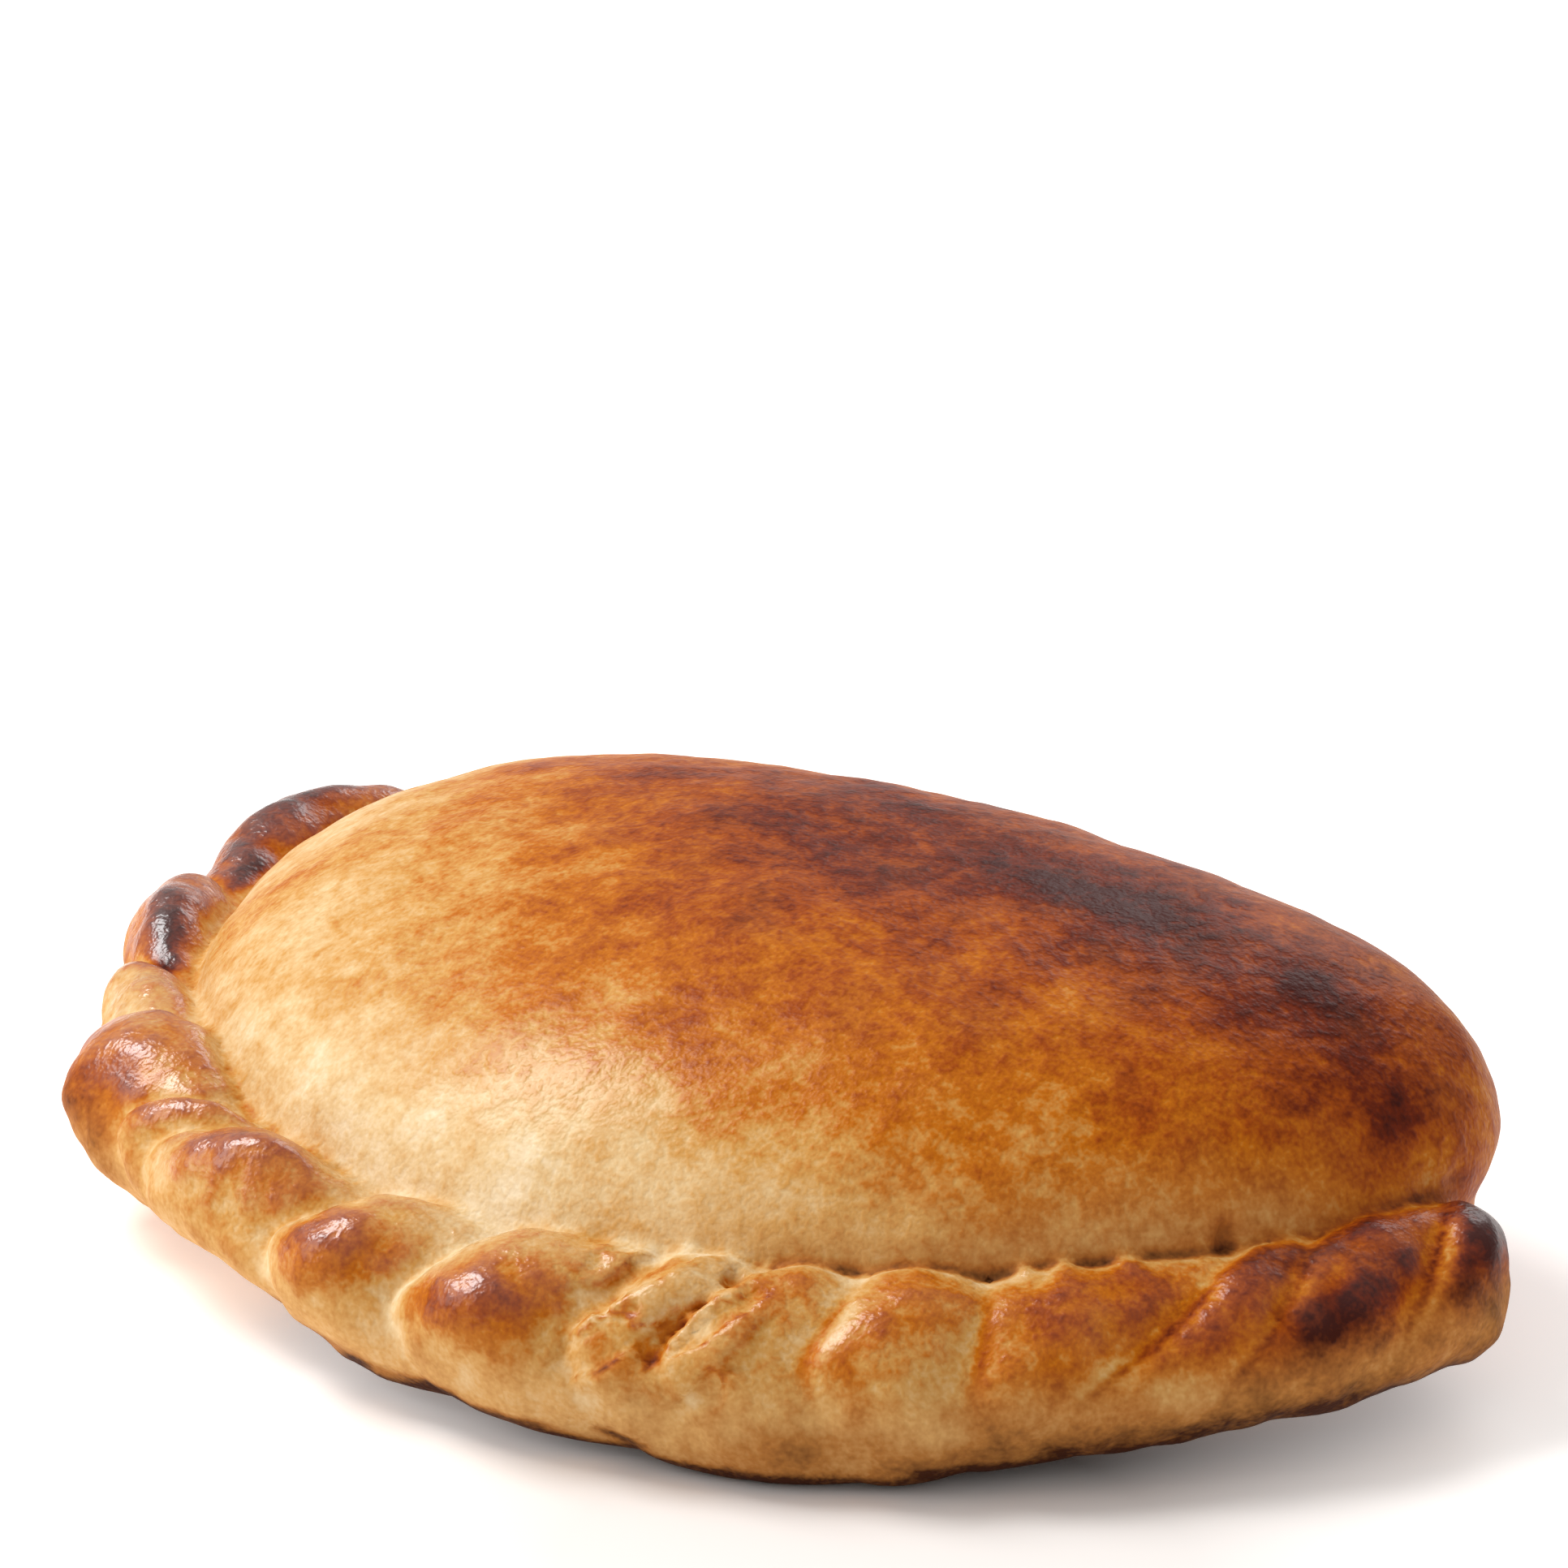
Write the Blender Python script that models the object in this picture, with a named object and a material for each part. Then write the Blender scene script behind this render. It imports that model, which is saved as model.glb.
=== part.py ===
"""Empanada: a half-moon pastry, folded over its filling and crimped into a rope along the rim.

One closed solid.  X runs along the fold, the rim bows out towards -Y, Z is up and the flat
underside lies on z = 0.  Driving sizes are in millimetres and degrees.
"""
import math

import bmesh
import bpy
import numpy as np

NODE = "empanada"
MM = 0.001

# Crimped rim: its centre line is an arc of a circle, seen from above.
# Places along it are angles round from the front (-Y), negative to the left.
SEAM_R = 63.3            # radius of the arc
SEAM_Z = 6.7             # height of the centre line where the rim rests on the table
LIFT_LEFT = 3.4          # how far the left end curls up off the table
LIFT_LEFT_SPAN = 55.0    # from the front round to where it is fully up
LIFT_RIGHT = 3.2         # how far the right end curls up
LIFT_RIGHT_FROM = 45.0
LIFT_RIGHT_SPAN = 40.0
END_LEFT = -85.0         # past these angles the rim turns in to meet the corners of the fold
END_RIGHT = 64.0
END_SPAN = 13.0
TUCK_LEFT = 6.5
TUCK_RIGHT = 1.0
ARC_LEFT = -97.0         # ends of the rope of dough
ARC_RIGHT = 78.8

# Section of the rope: nearly round on the left, and on the right an ellipse that leans from a
# skirt on the table up to a lip beside the filling.
ROPE_ROUND = 6.0         # radius on the left
ROPE_LONG = 7.7          # half lengths of the ellipse on the right
ROPE_SHORT = 5.2
ROPE_TILT = 126.0        # direction of its long axis, degrees up from outwards
ROPE_CHANGE_FROM = -30.0
ROPE_CHANGE_SPAN = 45.0
ROPE_END = 6.0           # the long axis shrinks to this at the right end
ROPE_END_FROM = 50.0
ROPE_END_SPAN = 24.0
LIP_AT = 118.0           # thin lip along the top of the rope on the right
LIP_SPAN = 10.0
LIP_HEIGHT = 0.5
LIP_FROM = 8.0
LIP_TO = 66.0
LIP_FADE = 12.0

# Filled body: a dome with a round front and a nearly straight back.
BODY_FRONT_R = 60.0      # front edge, about the same centre as the rim
BODY_BACK_Y = 11.2       # how far back the fold reaches at mid length
BODY_BACK_BOW = 0.0014   # how fast the fold line bows forwards towards the corners, 1/mm
BODY_MID_Y = -24.0       # middle of the plan
BODY_H = 30.2            # height of the top
BODY_TOP_X = 8.5         # the top leans towards the right
BODY_TOP_Y = 10.9        # and back towards the fold
CORNER_RIGHT = 5.0       # squareness of the corners between the front and the fold
CORNER_WAIST = 3.9       # the right corner is rounder where it meets the end of the rope
WAIST_RISE = 0.3         # share of the height at which it is as square as above
CORNER_LEFT = 16.0
CORNER_RISE = 0.55       # share of the height at which the left corner is as soft as the right
DOME_POWER = 2.72        # fullness of the dome above its widest line, at the front
FOLD_POWER = 2.3         # and over the fold
FOLD_TURN = -0.3         # the fold's fullness begins at directions in plan with this sine
FOLD_SOFT = 0.9          # and is reached this much further up it
FOLD_LIFT = 2.0          # the fold is widest a little higher than the rim
FOLD_FROM = 90.0         # angle round from the front at which the widest line starts to level
FOLD_SPAN = 60.0
BASE_INSET = 11.0        # the flat underside stops this far inside the widest line

# Pleats, left end to right end:
# (leading edge, slant, depth of the creases, share of it left in the skirt, knob, its place,
#  how far the pleat stands out, how far the dough draws in below it)
# Angles along the rim and round the rope are in degrees, slant in mm per degree round the rope.
PLEATS = (
    (-98.0, 0.06, 2.4, 0.6, 0.8, 80.0, -0.7, 1.0),
    (-71.5, 0.07, 2.6, 0.5, 1.2, 75.0, -1.6, 1.5),
    (-55.0, 0.07, 1.6, 0.4, 0.2, 90.0, -2.2, 1.5),
    (-43.5, 0.06, 2.2, 0.3, 1.2, 12.0, 0.4, -0.6),
    (-28.5, 0.09, 1.3, 0.0, 0.1, 60.0, -0.3, 1.2),
    (-24.5, 0.08, 2.6, 0.3, 2.1, 74.0, -0.6, 3.2),
    (-9.6, 0.07, 2.6, 0.35, 2.3, 46.0, -0.4, 2.0),
    (1.9, 0.07, 2.4, 0.3, 2.2, 42.0, -0.3, 1.7),
    (15.0, 0.07, 1.5, 0.2, 0.2, 80.0, 0.0, 1.4),
    (21.0, 0.085, 1.2, 0.2, 0.1, 80.0, 0.0, 0.3),
    (29.8, 0.05, 1.3, 0.35, 0.3, 50.0, 0.0, 0.8),
    (40.1, 0.02, 0.8, 0.35, 0.3, 60.0, 0.0, 2.6),
    (51.9, 0.14, 0.9, 0.3, 0.1, 60.0, 0.0, 2.7),
    (59.6, 0.10, 0.8, 0.3, 0.3, 45.0, 0.0, 1.1),
    (71.5, 0.10, 1.0, 0.5, 0.9, 55.0, 0.0, -0.2),
)
PLEATS_END = 82.0
EDGE_AT = 60.0           # angle round the rope at which a leading edge is where the table says
PLEAT_BEND = (35.0, -20.0)    # angle round the rope at which a crease is furthest left,
BEND_LOWER = (32.0, 40.0)     # which is lower for the pleats right of these angles
BEND_SOFT = 15.0         # how gently a crease turns there
PLEAT_CREST = 0.7        # below 1 a pleat is highest nearer its leading edge
PLEAT_FULL = 0.7         # below 1 a pleat is fuller across than a plain wave, its creases sharper
PLEAT_SKIRT = (-25.0, 50.0)   # angles round the rope between which the creases deepen
PLEAT_TOP = (100.0, 155.0)    # and fade again on the side of the filling
KNOB_CENTRE = 0.55       # share of the pleat's width at which the knob sits
KNOB_WIDE = 0.28         # share of it that the knob takes up
KNOB_LONG = 32.0         # degrees round the rope
CENTRE = 0.5             # share of a crease's depth that lies below the plain rope
HEM = (10.0, -50.0)      # angles round the rope between which its lower side draws in
HEM_END = (-95.0, -140.0)     # and between which it fills out again, against the body

# How finely the shells are drawn before they grow together
BODY_COLUMNS = 96
BODY_LOWER_RINGS = 8
BODY_UPPER_RINGS = 22
ROPE_RINGS = 360
ROPE_COLUMNS = 72
ROPE_TIP = 0.22          # share of its radius that the rope has at its very ends

# Surface
VOXEL = 0.8              # grain at which body and rope grow together
SOFTEN = 2               # smoothing passes
SOLE = 0.35              # slice taken off the underside
TRIANGLES = 9000         # before the underside is cut flat
CRUST = (0.60, 0.29, 0.09, 1.0)
CRUST_ROUGHNESS = 0.45


def clear_scene():
    """Start from an empty scene."""
    for item in list(bpy.data.objects):
        bpy.data.objects.remove(item, do_unlink=True)


def ease(value):
    """Smooth step from 0 to 1."""
    value = np.clip(value, 0.0, 1.0)
    return value * value * (3.0 - 2.0 * value)


def blend(first, second, share):
    """Value between two others, by share."""
    return first + (second - first) * share


def seam_height(angle):
    """Height of the rim's centre line."""
    left = LIFT_LEFT * ease(-angle / LIFT_LEFT_SPAN)
    right = LIFT_RIGHT * ease((angle - LIFT_RIGHT_FROM) / LIFT_RIGHT_SPAN)
    return SEAM_Z + left + right


def waist_height(angle):
    """Height of the body's widest line: the rim's at the front, level across the fold."""
    fold = SEAM_Z + 0.5 * (LIFT_LEFT + LIFT_RIGHT) + FOLD_LIFT
    return blend(seam_height(angle), fold, ease((abs(angle) - FOLD_FROM) / FOLD_SPAN))


def rope_section(angle, around):
    """Radius of the rope at a place along the rim and an angle round the rope."""
    change = ease((angle - ROPE_CHANGE_FROM) / ROPE_CHANGE_SPAN)
    close = ease((angle - ROPE_END_FROM) / ROPE_END_SPAN)
    long_half = blend(ROPE_ROUND, ROPE_LONG, change) - (ROPE_LONG - ROPE_END) * close
    short_half = blend(ROPE_ROUND, ROPE_SHORT, change)
    turn = np.radians(around - ROPE_TILT)
    return 1.0 / np.hypot(np.cos(turn) / long_half, np.sin(turn) / short_half)


def pleat_at(angle, around):
    """Which pleat a place belongs to, and the angles of that pleat's two creases there."""
    table = np.array(PLEATS + ((PLEATS_END,) + PLEATS[-1][1:],))
    lower = ease((table[:, 0] - BEND_LOWER[0]) / (BEND_LOWER[1] - BEND_LOWER[0]))
    bend = blend(PLEAT_BEND[0], PLEAT_BEND[1], lower)
    lean = np.hypot(around[..., None] - bend, BEND_SOFT) - np.hypot(EDGE_AT - bend, BEND_SOFT)
    edges = table[:, 0] + np.degrees(table[:, 1] * lean / SEAM_R)
    number = ((angle[..., None] >= edges).sum(axis=-1) - 1).clip(0, len(PLEATS) - 1)
    start = np.take_along_axis(edges, number[..., None], axis=-1)[..., 0]
    end = np.take_along_axis(edges, number[..., None] + 1, axis=-1)[..., 0]
    return number, start, end


def pleat_pattern(angle, around):
    """How far the pleated rope stands out from the plain one."""
    number, start, end = pleat_at(angle, around)
    share = ((angle - start) / (end - start)).clip(0.0, 1.0)
    depth, skirt, knob, knob_at = np.moveaxis(np.array(PLEATS)[number, 2:6], -1, 0)
    swell = np.sin(math.pi * share ** PLEAT_CREST).clip(0.0, 1.0) ** PLEAT_FULL
    lower, upper = PLEAT_SKIRT
    depth = depth * blend(skirt, 1.0, ease((around - lower) / (upper - lower)))
    depth = depth * ease((PLEAT_TOP[1] - around) / (PLEAT_TOP[1] - PLEAT_TOP[0]))
    reach = ((share - KNOB_CENTRE) / KNOB_WIDE) ** 2 + ((around - knob_at) / KNOB_LONG) ** 2
    return depth * (swell - CENTRE) + knob * np.exp(-reach)


def pleat_size(angle, around):
    """How far the row of pleats stands out as a whole, and draws in at its lower side."""
    table = np.array(PLEATS)
    middles = 0.5 * (table[:, 0] + np.append(table[1:, 0], PLEATS_END))
    stand = np.interp(angle, middles, table[:, 6])
    hem = np.interp(angle, middles, table[:, 7])
    hem = hem * ease((HEM[0] - around) / (HEM[0] - HEM[1]))
    return stand - hem * ease((around - HEM_END[1]) / (HEM_END[0] - HEM_END[1]))


def rope_radius(angle, around):
    """Radius of the pleated rope, with a thin lip beside the filling on the right."""
    lip = ease((angle - LIP_FROM) / LIP_FADE) * ease((LIP_TO - angle) / LIP_FADE)
    lip = LIP_HEIGHT * lip * np.exp(-((around - LIP_AT) / LIP_SPAN) ** 2)
    return rope_section(angle, around) + pleat_pattern(angle, around) + pleat_size(angle, around) + lip


def rope_point(angle, around, radius):
    """Points at a place along the rim, angles round the rope and radii from its middle."""
    turn = math.radians(angle)
    tuck = TUCK_LEFT * ease((END_LEFT - angle) / END_SPAN)
    tuck += TUCK_RIGHT * ease((angle - END_RIGHT) / END_SPAN)
    out = SEAM_R - tuck + radius * np.cos(np.radians(around))
    z = seam_height(angle) + radius * np.sin(np.radians(around))
    return np.stack([out * math.sin(turn), -out * math.cos(turn), z], axis=-1)


def body_radius(turn, rise):
    """Plan radius of the body about its middle; the left corner is only sharp low down."""
    dx = math.cos(turn)
    dy = math.sin(turn)
    reach = BODY_MID_Y * dy
    front = -reach + math.sqrt(reach ** 2 + BODY_FRONT_R ** 2 - BODY_MID_Y ** 2)
    gap = BODY_BACK_Y - BODY_MID_Y
    root = math.sqrt(dy ** 2 + 4.0 * BODY_BACK_BOW * dx ** 2 * gap)
    back = 2.0 * gap / max(dy + root, 0.001)
    right = blend(CORNER_WAIST, CORNER_RIGHT, ease(rise / WAIST_RISE))
    left_share = ease(0.5 - dx) * ease(1.0 - rise / CORNER_RISE)
    square = blend(right, CORNER_LEFT, left_share)
    return (front ** -square + back ** -square) ** (-1.0 / square)


def body_ring(turns, rise, drop):
    """One ring of the body: rise runs 0 to 1 up to the top, drop 0 to 1 down to the base."""
    inset = BASE_INSET * (1.0 - math.sqrt(1.0 - drop ** 2))
    ring = []
    for turn in turns:
        edge = body_radius(turn, rise)
        power = blend(DOME_POWER, FOLD_POWER, ease((math.sin(turn) - FOLD_TURN) / FOLD_SOFT))
        radius = edge * (1.0 - rise ** power) ** (1.0 / power) - inset
        x = radius * math.cos(turn) + BODY_TOP_X * rise ** 2
        y = BODY_MID_Y + radius * math.sin(turn) + BODY_TOP_Y * rise ** 2
        place = math.atan2(edge * math.cos(turn), -BODY_MID_Y - edge * math.sin(turn))
        waist = waist_height(math.degrees(place))
        ring.append((x, y, waist * (1.0 - drop) + (BODY_H - waist) * rise))
    return ring


def skin(bm, rings, start, end):
    """Skin closed rings of points and close both ends with a point each."""
    rows = [[bm.verts.new([c * MM for c in point]) for point in ring] for ring in rings]
    count = len(rows[0])
    for lower, upper in zip(rows, rows[1:]):
        for i in range(count):
            j = (i + 1) % count
            bm.faces.new((lower[i], lower[j], upper[j], upper[i]))
    first = bm.verts.new([c * MM for c in start])
    last = bm.verts.new([c * MM for c in end])
    for i in range(count):
        j = (i + 1) % count
        bm.faces.new((first, rows[0][j], rows[0][i]))
        bm.faces.new((last, rows[-1][i], rows[-1][j]))


def add_body(bm):
    """The filled dome, ring by ring from its flat base to its top."""
    turns = np.linspace(0.0, 2.0 * math.pi, BODY_COLUMNS, endpoint=False)
    lower = [math.sin(0.5 * math.pi * i / BODY_LOWER_RINGS) for i in range(BODY_LOWER_RINGS, 0, -1)]
    upper = [math.sin(0.5 * math.pi * i / BODY_UPPER_RINGS) for i in range(BODY_UPPER_RINGS)]
    rings = [body_ring(turns, 0.0, drop) for drop in lower]
    rings += [body_ring(turns, rise, 0.0) for rise in upper]
    top = (BODY_TOP_X, BODY_MID_Y + BODY_TOP_Y, BODY_H)
    skin(bm, rings, (0.0, BODY_MID_Y, 0.0), top)


def add_rope(bm):
    """The crimped rope of dough along the rim, rounded off at both ends."""
    around = np.arange(1, ROPE_COLUMNS + 1) * 360.0 / ROPE_COLUMNS - 180.0
    rings = []
    for angle in np.linspace(ARC_LEFT, ARC_RIGHT, ROPE_RINGS):
        end_gap = math.radians(min(angle - ARC_LEFT, ARC_RIGHT - angle)) * SEAM_R / ROPE_ROUND
        close = math.sqrt(max(ROPE_TIP ** 2, 1.0 - max(0.0, 1.0 - end_gap) ** 2))
        radius = rope_radius(np.full(ROPE_COLUMNS, angle), around)
        rings.append(rope_point(angle, around, close * radius))
    start, end = (rope_point(angle, 0.0, 0.0) for angle in (ARC_LEFT, ARC_RIGHT))
    skin(bm, rings, start, end)


def raw_piece():
    """Body and rope as overlapping shells in one object."""
    bm = bmesh.new()
    add_body(bm)
    add_rope(bm)
    bmesh.ops.recalc_face_normals(bm, faces=bm.faces)
    mesh = bpy.data.meshes.new(NODE)
    bm.to_mesh(mesh)
    bm.free()
    item = bpy.data.objects.new(NODE, mesh)
    bpy.context.collection.objects.link(item)
    return item


def bake(item):
    """Turn the modifiers of an object into its mesh."""
    graph = bpy.context.evaluated_depsgraph_get()
    mesh = bpy.data.meshes.new_from_object(item.evaluated_get(graph))
    item.modifiers.clear()
    item.data = mesh


def merge_shells(item):
    """Grow the shells into one skin and soften it."""
    remesh = item.modifiers.new("merge", "REMESH")
    remesh.mode = "VOXEL"
    remesh.voxel_size = VOXEL * MM
    smooth = item.modifiers.new("soften", "SMOOTH")
    smooth.factor = 0.5
    smooth.iterations = SOFTEN
    bake(item)


def thin_out(item):
    """Bring the triangle count down, keeping the most in the pleats.  The skin is all quads."""
    decimate = item.modifiers.new("thin", "DECIMATE")
    decimate.ratio = TRIANGLES / (2 * len(item.data.polygons))
    bake(item)


def flatten_base(item):
    """Slice the underside flat, set it on z = 0 and centre the piece in plan."""
    bm = bmesh.new()
    bm.from_mesh(item.data)
    cut = bmesh.ops.bisect_plane(
        bm, geom=bm.verts[:] + bm.edges[:] + bm.faces[:],
        plane_co=(0.0, 0.0, SOLE * MM), plane_no=(0.0, 0.0, 1.0), clear_inner=True)
    rim = [part for part in cut["geom_cut"] if isinstance(part, bmesh.types.BMEdge)]
    bmesh.ops.holes_fill(bm, edges=rim, sides=0)
    places = np.array([vert.co for vert in bm.verts])
    middle = 0.5 * (places.min(axis=0) + places.max(axis=0))
    bmesh.ops.translate(bm, verts=bm.verts, vec=(-middle[0], -middle[1], -SOLE * MM))
    bmesh.ops.triangulate(bm, faces=bm.faces)
    bm.to_mesh(item.data)
    bm.free()
    print("plan centre was at mm", (middle[:2] / MM).round(2))


def crust_material():
    """Baked dough, egg washed."""
    crust = bpy.data.materials.new("crust")
    crust.use_nodes = True
    shader = crust.node_tree.nodes["Principled BSDF"]
    shader.inputs["Base Color"].default_value = CRUST
    shader.inputs["Roughness"].default_value = CRUST_ROUGHNESS
    return crust


def main():
    clear_scene()
    item = raw_piece()
    merge_shells(item)
    thin_out(item)
    flatten_base(item)
    item.data.shade_smooth()
    item.data.materials.clear()
    item.data.materials.append(crust_material())
    print("triangles", len(item.data.polygons))


main()
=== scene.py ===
# %% [markdown]
# # A baked empanada
#
# An empanada is a disc of dough folded over its filling, so it is a half moon with a plump body.
# The two edges are pinched together and rolled over in short pleats, which leaves a rope of
# dough along the curved side. Egg wash brushed on before baking makes the top brown and shiny.
#
# The frame fixes the size and place of this one. It is shaped as a baker would: balls of dough
# are pressed to a body and a pleated roll, pushed together and smoothed. Then come the small
# unevenness, how far each part has browned, and the crust.

# %% Load the frame
import math

import bpy
import numpy as np
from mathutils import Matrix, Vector, noise


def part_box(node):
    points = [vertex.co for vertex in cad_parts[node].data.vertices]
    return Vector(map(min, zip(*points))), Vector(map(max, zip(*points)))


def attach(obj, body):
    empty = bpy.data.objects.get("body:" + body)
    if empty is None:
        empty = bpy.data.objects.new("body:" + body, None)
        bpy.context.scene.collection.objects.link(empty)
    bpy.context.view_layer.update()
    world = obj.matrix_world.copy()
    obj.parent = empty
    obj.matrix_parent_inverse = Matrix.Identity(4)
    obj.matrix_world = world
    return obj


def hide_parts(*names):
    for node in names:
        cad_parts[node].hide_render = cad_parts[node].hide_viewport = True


MM = 0.001
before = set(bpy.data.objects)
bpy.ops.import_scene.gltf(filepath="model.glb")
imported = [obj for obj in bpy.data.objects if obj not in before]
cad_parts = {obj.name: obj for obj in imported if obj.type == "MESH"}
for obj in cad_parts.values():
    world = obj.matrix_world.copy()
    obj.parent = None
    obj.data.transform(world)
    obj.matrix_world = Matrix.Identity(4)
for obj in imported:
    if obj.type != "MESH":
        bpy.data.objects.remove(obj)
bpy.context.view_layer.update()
low, high = (np.array(corner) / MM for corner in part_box("empanada"))
print("frame box in mm:", low.round(1), high.round(1))

# %% [markdown]
# ## The camera
#
# The pastry is seen from its front right and from a little above, with a long lens that hardly
# narrows what is far. The camera is placed by two angles, how far round and how high, and looks
# at one point above the middle of the frame.

# %% Camera
CAMERA_ROUND = 38.0  # degrees round from the front towards +X
CAMERA_HEIGHT = 19.52  # degrees above the table
CAMERA_AWAY = 432.9  # mm from the point that it looks at
CAMERA_LENS = 126.95  # mm, a long lens
CAMERA_AIM = (1.70, 10.48, 20.2)  # mm from the middle of the frame's box


def direction(around, height):
    """Direction some degrees round from the front towards +X and some degrees up."""
    turn = math.radians(around)
    rise = math.radians(height)
    return Vector((math.sin(turn) * math.cos(rise), -math.cos(turn) * math.cos(rise), math.sin(rise)))


aim = Vector(0.5 * (low + high)) + Vector(CAMERA_AIM)
back = direction(CAMERA_ROUND, CAMERA_HEIGHT)
bpy.ops.object.camera_add(location=(aim + CAMERA_AWAY * back) * MM)
camera = bpy.context.object
camera.rotation_euler = back.to_track_quat("Z", "Y").to_euler()
camera.data.lens = CAMERA_LENS
camera.data.clip_start = 10 * MM
bpy.context.scene.camera = camera
print("camera at mm:", (np.array(camera.location) / MM).round(1))

# %% [markdown]
# ## The sizes of the pastry
#
# Everything is measured from the middle of one circle: the rim's centre line is an arc of it,
# seen from above. A place on the rim is an angle round from the front, and a place on the rope
# of dough is an angle round the rope. In these two angles every pleat is the same simple shape.

# %% Sizes of the rim
SEAM_R = 63.3  # radius of the rim's centre line
SEAM_Z = 6.7  # its height where the rim rests on the table
LIFT_LEFT = 3.4  # how far the left end curls up off the table
LIFT_LEFT_SPAN = 55.0  # from the front round to where it is fully up
LIFT_RIGHT = 3.2  # how far the right end curls up
LIFT_RIGHT_FROM = 45.0
LIFT_RIGHT_SPAN = 40.0
END_LEFT = -85.0  # past these angles the rim turns in to the corners of the fold
END_RIGHT = 64.0
END_SPAN = 13.0
TUCK_LEFT = 6.5
TUCK_RIGHT = 1.0
ARC_LEFT = -97.0  # ends of the rope of dough
ARC_RIGHT = 78.8
ROPE_ROUND = 6.0  # radius of the rope on the left
ROPE_LONG = 7.7  # half lengths of its section on the right
ROPE_SHORT = 5.2
ROPE_TILT = 126.0  # direction of the long axis, degrees up from outwards
ROPE_CHANGE_FROM = -30.0
ROPE_CHANGE_SPAN = 45.0
ROPE_END = 6.0  # the long axis shrinks to this at the right end
ROPE_END_FROM = 50.0
ROPE_END_SPAN = 24.0
LIP_AT = 118.0  # thin lip along the top of the rope on the right
LIP_SPAN = 10.0
LIP_HEIGHT = 0.5
LIP_FROM = 8.0
LIP_TO = 66.0
LIP_FADE = 12.0


def ease(value):
    """Smooth step from 0 to 1."""
    value = np.clip(value, 0.0, 1.0)
    return value * value * (3.0 - 2.0 * value)


def between(value, start, end):
    """0 at a start, 1 at an end, and smooth between."""
    return ease((value - start) / (end - start))


def blend(first, second, share):
    """Value between two others, by share."""
    return first + (second - first) * share


def seam_height(angle):
    """Height of the rim's centre line."""
    left = LIFT_LEFT * ease(-angle / LIFT_LEFT_SPAN)
    right = LIFT_RIGHT * ease((angle - LIFT_RIGHT_FROM) / LIFT_RIGHT_SPAN)
    return SEAM_Z + left + right


def seam_radius(angle):
    """Radius of the rim's centre line, which turns in at both ends."""
    tuck = TUCK_LEFT * ease((END_LEFT - angle) / END_SPAN)
    return SEAM_R - tuck - TUCK_RIGHT * ease((angle - END_RIGHT) / END_SPAN)


def rope_section(angle, around):
    """Radius of the rope at a place along the rim and an angle round the rope."""
    change = ease((angle - ROPE_CHANGE_FROM) / ROPE_CHANGE_SPAN)
    close = ease((angle - ROPE_END_FROM) / ROPE_END_SPAN)
    long_half = blend(ROPE_ROUND, ROPE_LONG, change) - (ROPE_LONG - ROPE_END) * close
    short_half = blend(ROPE_ROUND, ROPE_SHORT, change)
    turn = np.radians(around - ROPE_TILT)
    return 1.0 / np.hypot(np.cos(turn) / long_half, np.sin(turn) / short_half)


def rope_point(angle, around, radius):
    """Points at places along the rim, angles round the rope and radii from its middle."""
    turn = np.radians(angle)
    out = seam_radius(angle) + radius * np.cos(np.radians(around))
    z = seam_height(angle) + radius * np.sin(np.radians(around))
    return np.stack([out * np.sin(turn), -out * np.cos(turn), z], axis=-1)


print("rope at the front, right and left in mm:", rope_section(np.array([0, 60, -60]), 90.0).round(1))

# %% [markdown]
# ## Balls of dough
#
# Every lump of dough starts as a ball, a plain UV sphere. Pressing moves each of its points by a
# rule that reads where the point was on the ball. A rule made of a few sizes is easy to change,
# and a ball has no open edges, so whatever it is pressed to stays closed.

# %% Ball and press


def only(item):
    """Select one object alone and make it active."""
    bpy.ops.object.select_all(action="DESELECT")
    item.select_set(True)
    bpy.context.view_layer.objects.active = item


def rows(parts, name, count, kind=float):
    """One property of all the points or edges of a mesh, a row each."""
    flat = np.empty(count * len(parts), dtype=kind)
    parts.foreach_get(name, flat)
    return flat.reshape(-1, count)


def points_of(item):
    """Points of a mesh as an array, in mm."""
    return rows(item.data.vertices, "co", 3) / MM


def size_of(item):
    """Length, width and height of a mesh, in mm."""
    return np.ptp(points_of(item), axis=0).round(1)


def move_points(item, points):
    """Put the points of a mesh at places given in mm."""
    item.data.vertices.foreach_set("co", (points * MM).ravel())
    item.data.update()


def ball(name, segments, rings):
    """A ball of dough, one unit in radius, with its poles up and down."""
    bpy.ops.object.select_all(action="DESELECT")
    bpy.ops.mesh.primitive_uv_sphere_add(segments=segments, ring_count=rings, radius=MM)
    item = bpy.context.object
    item.name = name
    return item


def press(item, rule, *sizes):
    """Move every point of a ball to where the rule puts it."""
    across, thick, along = points_of(item).T
    move_points(item, rule(across, thick, along.clip(-1.0, 1.0), *sizes))
    return item


print("balls start", 2.0 * MM, "m across")

# %% [markdown]
# ## The filled body
#
# The filling holds the dough up as a dome. Its front is part of a circle, its back is the fold,
# nearly straight, and the two meet in rounded corners. The ball's upper half becomes the dome and
# its lower half a shallow dish that ends in the flat underside. The top leans back and to the
# right, because the dough was pulled over the filling from the fold.

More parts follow.
